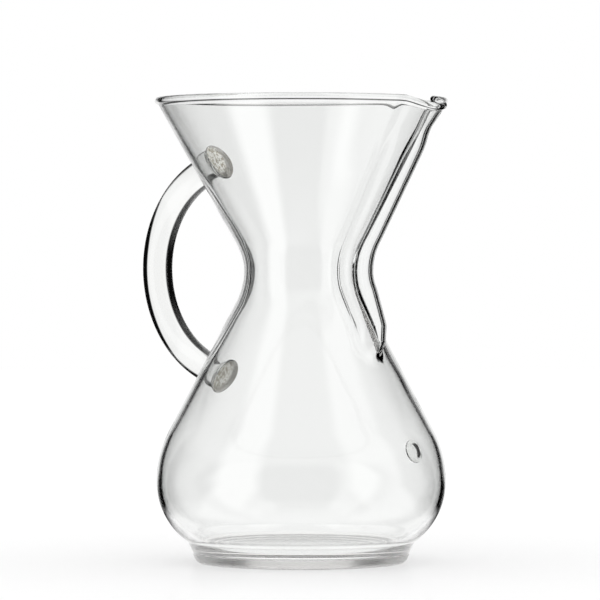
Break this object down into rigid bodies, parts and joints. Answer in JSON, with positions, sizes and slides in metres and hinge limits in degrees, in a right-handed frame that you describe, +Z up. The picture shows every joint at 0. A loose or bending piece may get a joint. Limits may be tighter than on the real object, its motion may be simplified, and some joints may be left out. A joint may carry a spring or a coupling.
{
  "type": "pour-over coffee maker",
  "caption": "Hourglass pour-over coffee maker of clear blown glass, with a pouring channel down to the waist and a C-shaped handle of solid glass rod fused to its back.",
  "frame": {"origin": "centre of the flat ring under the foot, on the vessel's axis, at table height", "axes": "+Z up along the vessel's axis, +X towards the pouring channel, -X towards the handle"},
  "size_m": [0.171, 0.1334, 0.2113],
  "materials": {
    "vessel_glass": "clear fire-polished borosilicate glass",
    "rod_glass": "clear solid borosilicate glass"
  },
  "bodies": {
    "root": {"vessel": "vessel_glass", "handle_rod": "rod_glass", "upper_weld_pad": "rod_glass", "lower_weld_pad": "rod_glass", "fill_mark_button": "rod_glass"}
  },
  "joints": []
}
